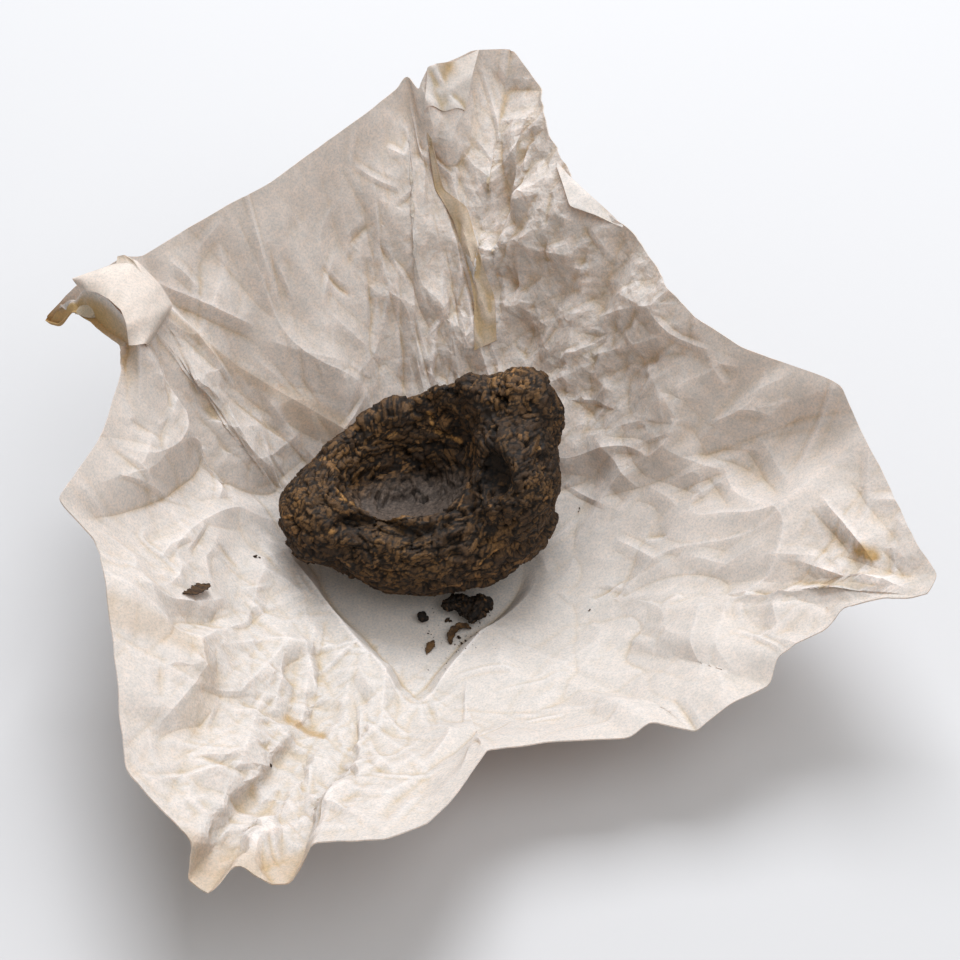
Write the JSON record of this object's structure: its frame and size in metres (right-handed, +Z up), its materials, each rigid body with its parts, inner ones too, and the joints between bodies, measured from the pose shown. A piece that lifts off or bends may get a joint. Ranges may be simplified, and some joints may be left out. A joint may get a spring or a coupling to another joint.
{
  "type": "pu erh tuocha",
  "caption": "Small pressed nest of dark fermented tea lying on its opened, crumpled square tissue wrapper, with fallen bits of leaf.",
  "frame": {"origin": "middle of the bounding box on the ground, under the wrapper", "axes": "+Z up, +X to the right and +Y away from a viewer who looks into the tea's hollow"},
  "size_m": [0.085, 0.087, 0.0329],
  "materials": {
    "tissue": "thin off-white tissue, matt and crumpled, lets warm light through",
    "pressed_tea": "pressed dark brown leaf strips with golden tips, matt with a faint dry sheen",
    "loose_tea": "dry dark brown leaf, matt"
  },
  "bodies": {
    "root": {"wrapper": "tissue", "tuocha": "pressed_tea", "fallen_clump": "loose_tea", "loose_flake": "loose_tea", "loose_leaf": "loose_tea", "loose_curl": "loose_tea", "loose_bead": "loose_tea"}
  },
  "joints": []
}
